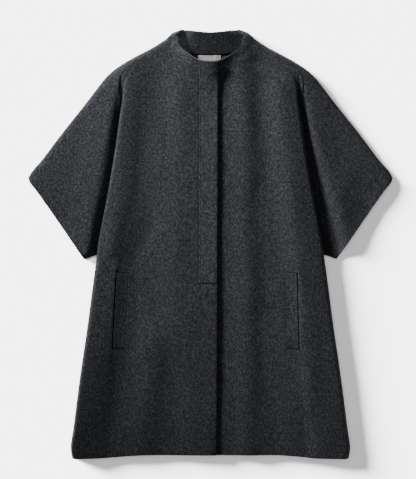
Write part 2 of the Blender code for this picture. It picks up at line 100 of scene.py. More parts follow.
# Soft creases in the fronts: a line from its start to its end, bowed sideways, with its height,
# the width of its steep right-hand slope and how many times wider its left-hand slope is
CREASE_COLUMNS = (
    "start_across", "start_along", "end_across", "end_along", "bow", "rise", "width", "left",
)
CREASES = (
    (-178.0, 300.0, -192.0, 90.0, 6.0, 1.0, 13.0, 1.6),
    (-110.0, 250.0, -104.0, 40.0, -8.0, 1.8, 22.0, 1.3),
    (-128.0, 62.0, -176.0, -34.0, 8.0, -2.0, 17.0, 1.4),
    (-172.0, -50.0, -186.0, -400.0, 6.0, -3.6, 24.0, 2.1),
    (-206.0, -250.0, -238.0, -450.0, 8.0, -1.5, 22.0, 1.2),
    (13.0, 322.0, 10.0, -452.0, 0.0, 2.4, 12.0, 4.2),
    (-60.0, 372.0, -26.0, 316.0, -5.0, -2.0, 9.0, 1.3),
    (-92.0, 366.0, -74.0, 300.0, 6.0, 1.5, 16.0, 1.5),
    (-116.0, -190.0, -142.0, -440.0, 6.0, 1.5, 24.0, 1.5),
    (-48.0, -120.0, -60.0, -300.0, -5.0, 1.2, 22.0, 1.2),
    (-196.0, -66.0, -150.0, -92.0, 6.0, 1.3, 13.0, 1.0),
    (166.0, 176.0, 178.0, 28.0, 8.0, 2.1, 20.0, 1.5),
    (176.0, 20.0, 196.0, -70.0, -4.0, 1.6, 18.0, 1.4),
    (104.0, 130.0, 98.0, 10.0, -5.0, -1.8, 22.0, 1.0),
    (92.0, -140.0, 112.0, -300.0, 6.0, -2.1, 22.0, 1.2),
    (112.0, -318.0, 104.0, -452.0, -5.0, -1.6, 18.0, 1.3),
    (152.0, -52.0, 160.0, -200.0, 5.0, 1.6, 20.0, 1.2),
    (204.0, -224.0, 208.0, -420.0, 7.0, 1.4, 22.0, 1.4),
    (62.0, 348.0, 96.0, 250.0, 6.0, 1.5, 18.0, 1.2),
    (252.0, -176.0, 268.0, -360.0, -4.0, -1.3, 14.0, 1.4),
    (-318.0, 190.0, -262.0, 36.0, 8.0, 1.2, 20.0, 1.4),
    (-372.0, 128.0, -300.0, 24.0, -6.0, -0.9, 16.0, 1.2),
    (330.0, 196.0, 276.0, 24.0, -8.0, 1.2, 22.0, 1.3),
    (362.0, 118.0, 306.0, 22.0, 5.0, -0.9, 16.0, 1.1),
)

# How far past its ends a crease fades out, in parts of its length
CREASE_FADE = 0.28

# The cloth's own unevenness, from broad to fine: the length and the height of its waves, then how they
# are stretched along the cape and how far apart they lie in the noise
WAVES = (
    (74.0, 1.1),
    (27.0, 0.42),
    (9.0, 0.12),
)
WAVE_STRETCH = 0.8
WAVE_APART = 7.3

# Painted light and shade: how pale a piece's wool is beside that of the fronts, the placket painted paler as
# a painted highlight and the back of the collar painted darker as painted shade inside the collar
PAINTED_LIGHT_TONES = {"placket": 1.2, "collar_back": 0.72}

# The melange's finer flecks: how many times smaller they are, and their part in it
FINE_FLECKS = 2.9
FINE_SHARE = 0.45

# The parts of the usual edge radius that some pieces have
EDGE_SHARES = {
    "placket": 0.4, "pocket_welt_right": 0.6, "pocket_welt_left": 0.6, "front_right": 0.6,
    "front_left": 0.6,
}

# The back: its cells, the height, length and shape of the soft ridges that lift it off the floor, and
# what counts as flat and as one place when it is cut into cells
BACK_CELL = 22.0
BACK_RISE = 0.8
BACK_WAVE = 90.0
BACK_STRETCH = 0.45
BACK_STEEP = 2.0
FLAT_ANGLE = 0.01
CUT_DISTANCE = 0.000001

# The label: its upright fold (where its ridge is, its half width and its height), how often its cells
# are halved, how fine its upright threads and its picks are, and the part of the picks in the weave
LABEL_FOLD = (12.4, 2.4, 1.1)
LABEL_LEVELS = 4
LABEL_THREADS = 260.0
LABEL_PICKS = 420.0
PICK_SHARE = 0.35

# Rows of stitches: the piece that each is sewn through, then the points that it passes
SEAM_ROWS = (
    ("placket", ((-23.2, 398.0), (-23.2, -88.1), (12.8, -88.1))),
    ("front_right", ((-183.4, -63.8), (-212.0, -63.8))),
    ("front_right", ((-190.4, -237.2), (-220.6, -237.2))),
    ("front_left", ((166.0, -63.3), (195.4, -63.3))),
    ("front_left", ((170.8, -236.7), (200.0, -236.7))),
)
LABEL_MARGIN = 2.2

# Painted shade in the seams across that are pressed in: the piece, the place along, and the ends across,
# then half the width of such a painted line and how dark it is painted
SEAM_SHADES = (
    ("placket", -88.2, -24.0, 18.0),
    ("front_right", -89.9, -26.0, 14.0),
    ("front_right", -236.0, -217.0, -191.0),
    ("front_left", -235.8, 168.0, 197.0),
)
SEAM_SHADE_HALF = 1.3
SEAM_SHADE_DARK = 0.9

# How far apart the points of a row are, how deep its thread is in the cloth, the height from which
# the cloth below a row is found, and how fine the twist of the thread is
ROW_STEP = 3.0
STITCH_SINK = 0.02
ROW_ABOVE = 1000.0
THREAD_TWIST = 1400.0

# The nap: how far a fibre bends sideways, lifts and falls again, in parts of its length, how much
# narrower it ends, and between which angles and sizes the fibres vary
FIBRE_BEND = 0.3
FIBRE_LIFT = 0.34
FIBRE_FALL = 0.7
FIBRE_TAPER = 0.75
NAP_SEED = 4
NAP_PITCH = (-0.1, 0.3)
NAP_ROLL = 0.3
NAP_TURN = 1.1
NAP_SIZES = (0.45, 1.3)
NAP_FACES_UP = 0.1

# Camera, straight above
VIEW_CENTRE = (-5.4, 9.6)
VIEW_HEIGHT = 3000.0
VIEW_LENGTH = 1077.75
CLOTH_HEIGHT = 13.0
SENSOR = 36.0

# The soft spot on the cape, the narrow one into its collar, the lights on the floor, and the floor
KEY_AIM = (60.0, 275.0, 0.0)
KEY_DISTANCE = 3200.0
KEY_RADIUS = 330.0
KEY_CONE = math.radians(34.5)
NECK_AIM = (-64.0, 451.0, 10.0)
NECK_DISTANCE = 1500.0
NECK_RADIUS = 12.0
NECK_CONE = math.radians(3.0)
NECK_HEIGHT = math.radians(86.0)
NECK_TURN = math.pi
FLOOR_SUN_ANGLE = math.radians(22.0)
FLOOR_FILL_ANGLE = math.radians(70.0)
STRAIGHT_ABOVE = math.radians(90.0)
FLOOR_HALF = 4000.0
FLOOR_BELOW = 0.6


class CAPE_PG_cloth(bpy.types.PropertyGroup):
    levels: IntProperty(
        name="Subdivision", description="How often each cell of a panel is halved", default=2, min=0, max=3,
    )
    edge_round: FloatProperty(
        name="Edge Round", description="Radius of the cut edges", default=0.0008, unit="LENGTH",
    )
    crease_strength: FloatProperty(
        name="Creases", description="How strong the soft creases are", default=1.0, subtype="FACTOR",
    )


class CAPE_PG_wool(bpy.types.PropertyGroup):
    base: FloatVectorProperty(
        name="Wool", description="Middle colour of the melange", subtype="COLOR", size=3,
        default=(0.034, 0.036, 0.041),
    )
    pale: FloatVectorProperty(
        name="Pale Fibres", description="Colour of the pale fibres", subtype="COLOR", size=3,
        default=(0.088, 0.092, 0.100),
    )
    dark: FloatVectorProperty(
        name="Dark Fibres", description="Colour of the dark fibres", subtype="COLOR", size=3,
        default=(0.010, 0.011, 0.013),
    )
    fleck: FloatProperty(
        name="Fleck Size", description="Size of the melange's flecks", default=0.0034, unit="LENGTH",
    )
    label: FloatVectorProperty(
        name="Label", description="Colour of the blank label", subtype="COLOR", size=3,
        default=(0.44, 0.435, 0.405),
    )


class CAPE_PG_nap(bpy.types.PropertyGroup):
    length: FloatProperty(
        name="Fibre Length", description="Length of a fibre of the nap", default=0.0034, unit="LENGTH",
    )
    width: FloatProperty(
        name="Fibre Width", description="Width of a fibre of the nap", default=0.00019, unit="LENGTH",
    )
    density: FloatProperty(
        name="Fibres", description="Fibres on each square metre", default=52000.0,
    )


class CAPE_PG_stitch(bpy.types.PropertyGroup):
    pitch: FloatProperty(
        name="Pitch", description="From one stitch to the next", default=0.0036, unit="LENGTH",
    )
    length: FloatProperty(
        name="Length", description="Length of a stitch", default=0.0033, unit="LENGTH",
    )
    thread: FloatProperty(
        name="Thread", description="Radius of the sewing thread", default=0.00048, unit="LENGTH",
    )
    dark: FloatVectorProperty(
        name="Dark Thread", description="Colour of the thread in the wool", subtype="COLOR", size=3,
        default=(0.006, 0.006, 0.007),
    )
    pale: FloatVectorProperty(
        name="Pale Thread", description="Colour of the thread in the label", subtype="COLOR", size=3,
        default=(0.58, 0.57, 0.53),
    )


class CAPE_PG_stage(bpy.types.PropertyGroup):
    height: FloatProperty(
        name="Light Height", description="How high the light stands above the floor", subtype="ANGLE",
        unit="ROTATION", default=math.radians(21.0),
    )
    turn: FloatProperty(
        name="Light Turn", description="How far round from the left the light stands", subtype="ANGLE",
        unit="ROTATION", default=math.radians(38.0),
    )
    key_power: FloatProperty(
        name="Key Light", description="Power of the soft spot on the cape", default=900.0, unit="POWER",
    )
    neck_power: FloatProperty(
        name="Neck Light", description="Power of the faint light into the collar", default=58.0, unit="POWER",
    )
    floor_height: FloatProperty(
        name="Floor Light Height", description="How high the floor's own light stands", subtype="ANGLE",
        unit="ROTATION", default=math.radians(13.0),
    )
    floor_turn: FloatProperty(
        name="Floor Light Turn", description="How far round from the left the floor's light stands",
        subtype="ANGLE", unit="ROTATION", default=math.radians(30.0),
    )
    floor_sun: FloatProperty(
        name="Floor Light", description="Strength of the light that casts the shadow", default=86.0,
    )
    floor_fill: FloatProperty(
        name="Floor Fill", description="Strength of the even light on the floor from above", default=2.2,
    )
    sky: FloatProperty(
        name="Sky", description="Strength of the even light from all round", default=0.13,
    )
    floor: FloatVectorProperty(
        name="Floor", description="Colour of the floor", subtype="COLOR", size=3,
        default=(0.80, 0.80, 0.80),
    )


class CAPE_PG_settings(bpy.types.PropertyGroup):
    cloth: PointerProperty(type=CAPE_PG_cloth, name="Cloth", description="How the panels are finished")
    wool: PointerProperty(type=CAPE_PG_wool, name="Wool", description="Colours of the cloth")
    nap: PointerProperty(type=CAPE_PG_nap, name="Nap", description="Short fibres on the wool")
    stitch: PointerProperty(type=CAPE_PG_stitch, name="Stitches", description="Sewn rows")
    stage: PointerProperty(type=CAPE_PG_stage, name="Stage", description="Floor and light")


def settings():
    """The values in the sidebar."""
    return bpy.context.scene.cape


def smooth(value):
    """Ease from 0 to 1."""
    value = max(0.0, min(1.0, value))
    return value * value * (3.0 - 2.0 * value)


# Nodes

def add(tree, kind, place, **values):
    """A node at a place in its tree, with its properties, and its inputs by name or number."""
    node = tree.nodes.new(kind)
    node.location = (place[0] * 200.0, -place[1] * 180.0)
    inputs = values.pop("inputs", {})
    for name, value in values.items():
        setattr(node, name, value)
    for name, value in inputs.items():
        node.inputs[name].default_value = value
    return node


def join(tree, source, output, target, socket):
    tree.links.new(source.outputs[output], target.inputs[socket])


def math_node(tree, place, operation, *parts):
    """A Math node whose parts are numbers or pairs of a node and its output."""
    node = add(tree, "ShaderNodeMath", place, operation=operation)
    for index, part in enumerate(parts):
        if isinstance(part, tuple):
            join(tree, part[0], part[1], node, index)
        else:
            node.inputs[index].default_value = part
    return node


def stops(node, colors):
    """Give a colour ramp its stops, from a table of place and colour."""
    ramp = node.color_ramp
    while len(ramp.elements) < len(colors):
        ramp.elements.new(0.5)
    for element, (place, color) in zip(ramp.elements, colors):
        element.position = place
        element.color = color


def grey(value):
    return (value, value, value, 1.0)


def new_group(name, sockets, outputs):
    """A shader group with its input and output nodes."""
    tree = bpy.data.node_groups.new(name, "ShaderNodeTree")
    for label, kind, value in sockets:
        socket = tree.interface.new_socket(label, in_out="INPUT", socket_type=kind)
        if value is not None:
            socket.default_value = value
    for label, kind in outputs:
        tree.interface.new_socket(label, in_out="OUTPUT", socket_type=kind)
    return tree, add(tree, "NodeGroupInput", (-2, 0)), add(tree, "NodeGroupOutput", (9, 0))


def melange_group():
    """Felted wool of pale and dark fibres: flecks longer than wide, in patches of slightly other hues."""
    found = bpy.data.node_groups.get("Melange Wool")
    if found:
        return found
    color, number = "NodeSocketColor", "NodeSocketFloat"
    tree, entry, result = new_group(
        "Melange Wool",
        (
            ("Middle", color, grey(0.04)),
            ("Pale", color, grey(0.1)),
            ("Dark", color, grey(0.01)),
            ("Fleck Size", number, 0.005),
            ("Fleck Amount", number, 0.7),
            ("Patch Size", number, 0.045),
            ("Patch Amount", number, 0.5),
        ),
        (("Color", color), ("Height", number)),
    )
    place = add(tree, "ShaderNodeTexCoord", (-2, 3))
    stretch = add(tree, "ShaderNodeMapping", (-1, 3), inputs={"Scale": (1.0, 0.68, 1.0)})
    join(tree, place, "Object", stretch, "Vector")
    per_fleck = math_node(tree, (0, 2), "DIVIDE", 1.0, (entry, "Fleck Size"))
    per_patch = math_node(tree, (0, 4), "DIVIDE", 1.0, (entry, "Patch Size"))
    flecks = add(tree, "ShaderNodeTexNoise", (1, 2), inputs={"Detail": 3.0, "Roughness": 0.62})
    join(tree, stretch, "Vector", flecks, "Vector")
    join(tree, per_fleck, 0, flecks, "Scale")
    fine_scale = math_node(tree, (0, 3), "MULTIPLY", (per_fleck, 0), FINE_FLECKS)
    fine = add(tree, "ShaderNodeTexNoise", (1, 3), inputs={"Detail": 2.0, "Distortion": 0.6})
    join(tree, stretch, "Vector", fine, "Vector")
    join(tree, fine_scale, 0, fine, "Scale")
    patches = add(tree, "ShaderNodeTexNoise", (1, 4), inputs={"Detail": 2.0, "Roughness": 0.55})
    join(tree, place, "Object", patches, "Vector")
    join(tree, per_patch, 0, patches, "Scale")
    both = math_node(tree, (2, 2), "MULTIPLY_ADD", (fine, "Fac"), FINE_SHARE, (flecks, "Fac"))
    pale = add(tree, "ShaderNodeMapRange", (3, 1), inputs={"From Min": 0.72, "From Max": 0.93})
    join(tree, both, 0, pale, "Value")
    dark = add(tree, "ShaderNodeMapRange", (3, 3), inputs={"From Min": 0.72, "From Max": 0.50})
    join(tree, both, 0, dark, "Value")
    hues = add(tree, "ShaderNodeValToRGB", (3, 5))
    stops(hues, (
        (0.34, (0.95, 1.00, 0.99, 1.0)),
        (0.47, (1.04, 1.01, 0.99, 1.0)),
        (0.55, (0.97, 0.98, 1.05, 1.0)),
        (0.68, (1.04, 0.98, 1.05, 1.0)),
    ))
    join(tree, patches, "Fac", hues, "Fac")
    amount_pale = math_node(tree, (4, 1), "MULTIPLY", (pale, 0), (entry, "Fleck Amount"))
    amount_dark = math_node(tree, (4, 3), "MULTIPLY", (dark, 0), (entry, "Fleck Amount"))
    paler = add(tree, "ShaderNodeMix", (5, 1), data_type="RGBA")
    join(tree, amount_pale, 0, paler, "Factor")
    join(tree, entry, "Middle", paler, 6)
    join(tree, entry, "Pale", paler, 7)
    darker = add(tree, "ShaderNodeMix", (6, 2), data_type="RGBA")
    join(tree, amount_dark, 0, darker, "Factor")
    join(tree, paler, 2, darker, 6)
    join(tree, entry, "Dark", darker, 7)
    tinted = add(tree, "ShaderNodeMix", (7, 3), data_type="RGBA", blend_type="MULTIPLY")
    join(tree, entry, "Patch Amount", tinted, "Factor")
    join(tree, darker, 2, tinted, 6)
    join(tree, hues, "Color", tinted, 7)
    join(tree, tinted, 2, result, "Color")
    join(tree, both, 0, result, "Height")
    return tree


def fibre_group():
    """Fine hairs that lie mostly along the cloth, for its relief."""
    found = bpy.data.node_groups.get("Lying Fibres")
    if found:
        return found
    tree, entry, result = new_group(
        "Lying Fibres",
        (("Fibre Size", "NodeSocketFloat", 0.0012), ("Stretch", "NodeSocketFloat", 0.25)),
        (("Height", "NodeSocketFloat"),),
    )
    place = add(tree, "ShaderNodeTexCoord", (-2, 2))
    along = add(tree, "ShaderNodeCombineXYZ", (-1, 1), inputs={"X": 1.0, "Z": 1.0})
    join(tree, entry, "Stretch", along, "Y")
    stretch = add(tree, "ShaderNodeMapping", (0, 2))
    join(tree, place, "Object", stretch, "Vector")
    join(tree, along, 0, stretch, "Scale")
    scale = math_node(tree, (0, 1), "DIVIDE", 1.0, (entry, "Fibre Size"))
    hairs = add(tree, "ShaderNodeTexNoise", (2, 1), inputs={"Detail": 3.0, "Distortion": 1.6})
    join(tree, stretch, "Vector", hairs, "Vector")
    join(tree, scale, 0, hairs, "Scale")
    join(tree, hairs, "Fac", result, "Height")
    return tree


def new_material(name):
    material = bpy.data.materials.new(name)
    material.use_nodes = True
    return material, material.node_tree, material.node_tree.nodes["Principled BSDF"]


def seam_shade_group():
    """The mask of a painted shade line across, where a seam is pressed into the cloth."""
    found = bpy.data.node_groups.get("Painted Seam Shade")
    if found:
        return found
    number = "NodeSocketFloat"
    tree, entry, result = new_group(
        "Painted Seam Shade",
        (("Along", number, 0.0), ("Start", number, 0.0), ("End", number, 0.0), ("Half Width", number, 0.001)),
        (("Mask", number),),
    )
    place = add(tree, "ShaderNodeTexCoord", (-2, 2))
    parts = add(tree, "ShaderNodeSeparateXYZ", (-1, 2))
    join(tree, place, "Object", parts, 0)
    off = math_node(tree, (0, 1), "SUBTRACT", (parts, "Y"), (entry, "Along"))
    off = math_node(tree, (1, 1), "ABSOLUTE", (off, 0))
    near = math_node(tree, (2, 1), "DIVIDE", (off, 0), (entry, "Half Width"))
    near = math_node(tree, (3, 1), "SUBTRACT", 1.0, (near, 0))
    near = math_node(tree, (4, 1), "MULTIPLY", (near, 0), 2.0)
    near.use_clamp = True
    after = math_node(tree, (1, 2), "GREATER_THAN", (parts, "X"), (entry, "Start"))
    before = math_node(tree, (1, 3), "LESS_THAN", (parts, "X"), (entry, "End"))
    inside = math_node(tree, (2, 2), "MULTIPLY", (after, 0), (before, 0))
    mask = math_node(tree, (5, 1), "MULTIPLY", (near, 0), (inside, 0))
    join(tree, mask, 0, result, "Mask")
    return tree


def wool_material(node):
    """Melange wool for one piece: the placket painted paler as light, the back of the collar painted darker
    as shade, and painted shade along the pressed seams.
    """
    wool = settings().wool
    # Painted light and shade: the placket's wool is made paler and the collar back's darker by this factor
    tone = PAINTED_LIGHT_TONES.get(node, 1.0)
    material, tree, shader = new_material("wool_" + node)
    shader.inputs["Roughness"].default_value = 0.92
    shader.inputs["Specular IOR Level"].default_value = 0.18
    shader.inputs["Sheen Weight"].default_value = 0.22
    shader.inputs["Sheen Roughness"].default_value = 0.45
    shader.inputs["Sheen Tint"].default_value = (0.62, 0.66, 0.72, 1.0)
    melange = add(tree, "ShaderNodeGroup", (-4, 0), node_tree=melange_group())
    for socket, color in (("Middle", wool.base), ("Pale", wool.pale), ("Dark", wool.dark)):
        melange.inputs[socket].default_value = [part * tone for part in color] + [1.0]
    melange.inputs["Fleck Size"].default_value = wool.fleck
    melange.inputs["Fleck Amount"].default_value = 1.0
    color = (melange, 0)
    # Painted shade: a dark line is mixed into the wool's colour along each pressed seam
    for index, (name, along, start, end) in enumerate(SEAM_SHADES):
        if name == node:
            seam = add(tree, "ShaderNodeGroup", (-4, -2 - index), node_tree=seam_shade_group())
            places = (("Along", along), ("Start", start), ("End", end), ("Half Width", SEAM_SHADE_HALF))
            for socket, place in places:
                seam.inputs[socket].default_value = place * MM
            amount = math_node(tree, (-3, -2 - index), "MULTIPLY", (seam, 0), SEAM_SHADE_DARK)
            darker = add(tree, "ShaderNodeMix", (-2, -2 - index), data_type="RGBA")
            join(tree, amount, 0, darker, "Factor")
            join(tree, *color, darker, 6)
            # The painted shade takes the dark thread's colour
            darker.inputs[7].default_value = list(settings().stitch.dark) + [1.0]
            color = (darker, 2)
    join(tree, *color, shader, "Base Color")
    hairs = add(tree, "ShaderNodeGroup", (-4, 2), node_tree=fibre_group())
    coarse = add(tree, "ShaderNodeBump", (-3, 2), inputs={"Strength": 0.55, "Distance": 0.0007})
    fine = add(tree, "ShaderNodeBump", (-2, 2), inputs={"Strength": 0.6, "Distance": 0.0003})
    join(tree, melange, "Height", coarse, "Height")
    join(tree, hairs, "Height", fine, "Height")
    join(tree, coarse, "Normal", fine, "Normal")
    join(tree, fine, "Normal", shader, "Normal")
    return material


def label_material():
    """Off-white woven satin with upright threads, and no mark on it."""
    material, tree, shader = new_material("label_satin")
    shader.inputs["Roughness"].default_value = 0.5
    shader.inputs["Sheen Weight"].default_value = 0.1
    low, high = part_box("label")
    width = high.x - low.x
    place = add(tree, "ShaderNodeTexCoord", (-7, 0))
    threads = add(tree, "ShaderNodeTexWave", (-6, 0), bands_direction="X",
                  inputs={"Scale": LABEL_THREADS, "Distortion": 1.2, "Detail": 2.0})
    join(tree, place, "Object", threads, "Vector")
    picks = add(tree, "ShaderNodeTexWave", (-6, 2), bands_direction="Y",
                inputs={"Scale": LABEL_PICKS, "Distortion": 0.8})
    join(tree, place, "Object", picks, "Vector")
    weave = math_node(tree, (-5, 1), "MULTIPLY_ADD", (picks, "Fac"), PICK_SHARE, (threads, "Fac"))
    tone = add(tree, "ShaderNodeValToRGB", (-4, 0))
    base = settings().wool.label
    stops(tone, (
        (0.0, [part * 0.80 for part in base] + [1.0]),
        (0.7, list(base) + [1.0]),
        (1.0, [min(1.0, part * 1.1) for part in base] + [1.0]),
    ))
    join(tree, weave, 0, tone, "Fac")
    join(tree, tone, "Color", shader, "Base Color")
    bump = add(tree, "ShaderNodeBump", (-3, 2), inputs={"Strength": 0.3, "Distance": width * 0.002})
    join(tree, weave, 0, bump, "Height")
    join(tree, bump, "Normal", shader, "Normal")
    return material


def thread_material(name, color, rough):
    """Sewing thread, twisted, so that it is banded along its length."""
    material, tree, shader = new_material(name)
    shader.inputs["Roughness"].default_value = rough
    place = add(tree, "ShaderNodeTexCoord", (-5, 0))
    twist = add(tree, "ShaderNodeTexNoise", (-4, 0), inputs={"Scale": THREAD_TWIST, "Detail": 2.0})
    join(tree, place, "Object", twist, "Vector")
    tone = add(tree, "ShaderNodeValToRGB", (-3, 0))
    stops(tone, (
        (0.3, [part * 0.65 for part in color] + [1.0]),
        (0.7, [part * 1.3 for part in color] + [1.0]),
    ))
    join(tree, twist, "Fac", tone, "Fac")
    join(tree, tone, "Color", shader, "Base Color")
    return material


def nap_material():
    """Loose fibres, each of its own tone between the dark and the pale ones."""
    wool = settings().wool
    material, tree, shader = new_material("nap_fibres")
    shader.inputs["Roughness"].default_value = 0.85
    shader.inputs["Specular IOR Level"].default_value = 0.2
    tone = add(tree, "ShaderNodeAttribute", (-4, 0), attribute_name="tone")
    ramp = add(tree, "ShaderNodeValToRGB", (-3, 0))
    stops(ramp, (
        (0.0, list(wool.dark) + [1.0]),
        (0.5, list(wool.base) + [1.0]),
        (0.86, list(wool.pale) + [1.0]),
        (1.0, [part * 2.2 for part in wool.pale] + [1.0]),
    ))
    join(tree, tone, "Fac", ramp, "Fac")
    join(tree, ramp, "Color", shader, "Base Color")
    return material


# Shells

def new_object(name, mesh, material=None):
    item = bpy.data.objects.new(name, mesh)
    bpy.context.scene.collection.objects.link(item)
    if material:
        mesh.materials.clear()
        mesh.materials.append(material)
    return item


def plain(item):
    """Turn an object with live modifiers into one plain mesh."""
    graph = bpy.context.evaluated_depsgraph_get()
    mesh = bpy.data.meshes.new_from_object(item.evaluated_get(graph))
    item.modifiers.clear()
    old, item.data = item.data, mesh
    bpy.data.meshes.remove(old)
    mesh.name = item.name
    return item


def merged(node):
    """A copy of a node's mesh with its points merged and its triangles joined in pairs."""
    shape = bmesh.new()
    shape.from_mesh(frame["nodes"][node].data)
    bmesh.ops.remove_doubles(shape, verts=shape.verts, dist=MERGE_DISTANCE)
    bmesh.ops.join_triangles(
        shape, faces=shape.faces, angle_face_threshold=QUAD_FACE_ANGLE,
        angle_shape_threshold=QUAD_SHAPE_ANGLE,
    )
    return shape


def crease_rims(shape):
    """Keep the cut edges of a wall of cloth square when it is subdivided."""
    crease = shape.edges.layers.float.new("crease_edge")
    sharp = {edge for edge in shape.edges if edge.is_manifold and edge.calc_face_angle() > RIM_ANGLE}
    for face in shape.faces:
        edges = list(face.edges)
        facing = len(edges) == 4 and any(edges[i] in sharp and edges[i + 2] in sharp for i in (0, 1))
        if facing:
            for edge in edges:
                if edge in sharp:
                    edge[crease] = 1.0
    corner = shape.verts.layers.float.new("crease_vert")
    for vert in shape.verts:
        rim = sorted((edge for edge in vert.link_edges if edge[crease]), key=lambda edge: -edge.calc_length())
        if len(rim) > 1:
            before, after = (edge.other_vert(vert).co - vert.co for edge in rim[:2])
            if math.pi - before.angle(after) > CORNER_ANGLE:
                vert[corner] = 1.0


def fit(item):
    """Move the points of a subdivided mesh out, so that its smooth surface passes through the CAD's."""
    goals = [vert.co.copy() for vert in item.data.vertices]
    for _ in range(FIT_ROUNDS):
        graph = bpy.context.evaluated_depsgraph_get()
        smooth_mesh = item.evaluated_get(graph).to_mesh()
        moves = [goal - smooth_mesh.vertices[index].co for index, goal in enumerate(goals)]
        item.to_mesh_clear()
        for vert, move in zip(item.data.vertices, moves):
            vert.co += move * FIT_SHARE
        item.data.update()


def round_edges(item, share=1.0):
    """Round the cut edges with a part of the usual radius, and finish the mesh."""
    edge = item.modifiers.new("edge", "BEVEL")
    edge.width = settings().cloth.edge_round * share
    edge.segments = EDGE_SEGMENTS
    edge.limit_method = "ANGLE"
    edge.angle_limit = ROUND_ANGLE
    plain(item)


def shell(node, material, levels=None):
    """The thin shell of a node's cloth: subdivided, and with its cut edges rounded."""
    shape = merged(node)
    crease_rims(shape)
    mesh = bpy.data.meshes.new(node + "_cloth")
    shape.to_mesh(mesh)
    shape.free()
    item = new_object(node + "_cloth", mesh, material)
    finer = item.modifiers.new("finer", "SUBSURF")
    finer.levels = finer.render_levels = settings().cloth.levels if levels is None else levels
    fit(item)
    round_edges(item, EDGE_SHARES.get(node, 1.0))
    item.data.shade_smooth()
    return item


def crease_rise(across, along):
    """What the soft creases add to the height, in millimetres."""
    rise = 0.0
    for row in CREASES:
        crease = dict(zip(CREASE_COLUMNS, row))
        start = Vector((crease["start_across"], crease["start_along"]))
        line = Vector((crease["end_across"], crease["end_along"])) - start
        offset = Vector((across, along)) - start
        share = offset.dot(line) / line.length_squared
        if not -CREASE_FADE < share < 1.0 + CREASE_FADE:
            continue
        inside = max(0.0, min(1.0, share))
        out = (offset.x * line.y - offset.y * line.x) / line.length
        out = -out if line.y < 0.0 else out
        out -= crease["bow"] * math.sin(math.pi * inside)
        width = crease["width"] * (crease["left"] if out < 0.0 else 1.0)
        fade = smooth((share + CREASE_FADE) / CREASE_FADE / 2)
        fade *= smooth((1.0 + CREASE_FADE - share) / CREASE_FADE / 2)
        rise += crease["rise"] * fade * math.exp(-(out / width) ** 2)
    return rise


def wave_rise(across, along):
    """What the cloth's own unevenness adds to the height, in millimetres."""
    rise = 0.0
    for index, (length, height) in enumerate(WAVES):
        place = Vector((across / length, along / length * WAVE_STRETCH, WAVE_APART * index))
        rise += height * noise.noise(place)
    return rise


class LowPlaces:
    """Where the cloth lies low, and so how freely it is creased at any other place."""

    def __init__(self, items):
        points = []
        for item in items:
            points += [vert.co for vert in item.data.vertices if vert.co.z < LOW_HEIGHT * MM]
        self.tree = KDTree(len(points))
        for index, point in enumerate(points):
            self.tree.insert((point.x, point.y, 0.0), index)
        self.tree.balance()

    def freedom(self, point):
        distance = self.tree.find((point.x, point.y, 0.0))[2]
        collar = smooth((COLLAR_START + COLLAR_WIDTH - point.y / MM) / COLLAR_WIDTH)
        return smooth(distance / (SETTLE_WIDTH * MM)) * collar


def crease_cloth(items, low):
    """Move all layers at a place up or down together, so that none passes through another."""
    strength = settings().cloth.crease_strength * MM
    for item in items:
        for vert in item.data.vertices:
            free = low.freedom(vert.co)
            if free > 0.0:
                across, along = vert.co.x / MM, vert.co.y / MM
                vert.co.z += strength * free * (crease_rise(across, along) + wave_rise(across, along))
        item.data.update()


def lay(item, node):
    """Attach a finished cloth piece to the cape's body and hide the node that it stands for."""
    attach(item, ROOT)
    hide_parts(node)


# Node trees that grow stitches and nap

def new_tree(name, sockets):
    """A geometry tree with its input and output nodes, and named inputs."""
    tree = bpy.data.node_groups.new(name, "GeometryNodeTree")
    tree.interface.new_socket("Geometry", in_out="INPUT", socket_type="NodeSocketGeometry")
    for label, kind in sockets:
        tree.interface.new_socket(label, in_out="INPUT", socket_type=kind)
    tree.interface.new_socket("Geometry", in_out="OUTPUT", socket_type="NodeSocketGeometry")
    return tree, add(tree, "NodeGroupInput", (-4, 0)), add(tree, "NodeGroupOutput", (8, 0))


def finish_tree(tree, entry, result, instances):
    """End a tree with real geometry in its own material."""
    real = add(tree, "GeometryNodeRealizeInstances", (6, 0))
    join(tree, instances, "Instances", real, "Geometry")
    painted = add(tree, "GeometryNodeSetMaterial", (7, 0))
    join(tree, real, "Geometry", painted, "Geometry")
    join(tree, entry, "Material", painted, "Material")
    join(tree, painted, "Geometry", result, "Geometry")


def stitch_tree():
    """Stitches of one size, end to end along each edge path."""
    number = "NodeSocketFloat"
    tree, entry, result = new_tree(
        "Stitch Rows",
        (("Pitch", number), ("Length", number), ("Thread", number), ("Material", "NodeSocketMaterial")),
    )
    path = add(tree, "GeometryNodeMeshToCurve", (-3, 0))
    join(tree, entry, "Geometry", path, "Mesh")
    places = add(tree, "GeometryNodeResampleCurve", (-2, 0), mode="LENGTH")
    join(tree, path, "Curve", places, "Curve")
    join(tree, entry, "Pitch", places, "Length")
    bead = add(tree, "GeometryNodeMeshUVSphere", (-2, 2), inputs={"Segments": 6, "Rings": 4, "Radius": 1.0})
    half = math_node(tree, (-3, 2), "MULTIPLY", (entry, "Length"), 0.5)
    size = add(tree, "ShaderNodeCombineXYZ", (-2, 3))
    join(tree, half, 0, size, "X")
    join(tree, entry, "Thread", size, "Y")
    join(tree, entry, "Thread", size, "Z")
    stitch = add(tree, "GeometryNodeTransform", (-1, 2))
    join(tree, bead, "Mesh", stitch, "Geometry")
    join(tree, size, 0, stitch, "Scale")
    tangent = add(tree, "GeometryNodeInputTangent", (-1, 4))
    turn = add(tree, "FunctionNodeAlignRotationToVector", (0, 3), axis="X")
    join(tree, tangent, "Tangent", turn, "Vector")
    stitches = add(tree, "GeometryNodeInstanceOnPoints", (4, 0))
    join(tree, places, "Curve", stitches, "Points")
    join(tree, stitch, "Geometry", stitches, "Instance")
    join(tree, turn, "Rotation", stitches, "Rotation")
    finish_tree(tree, entry, result, stitches)
    return tree


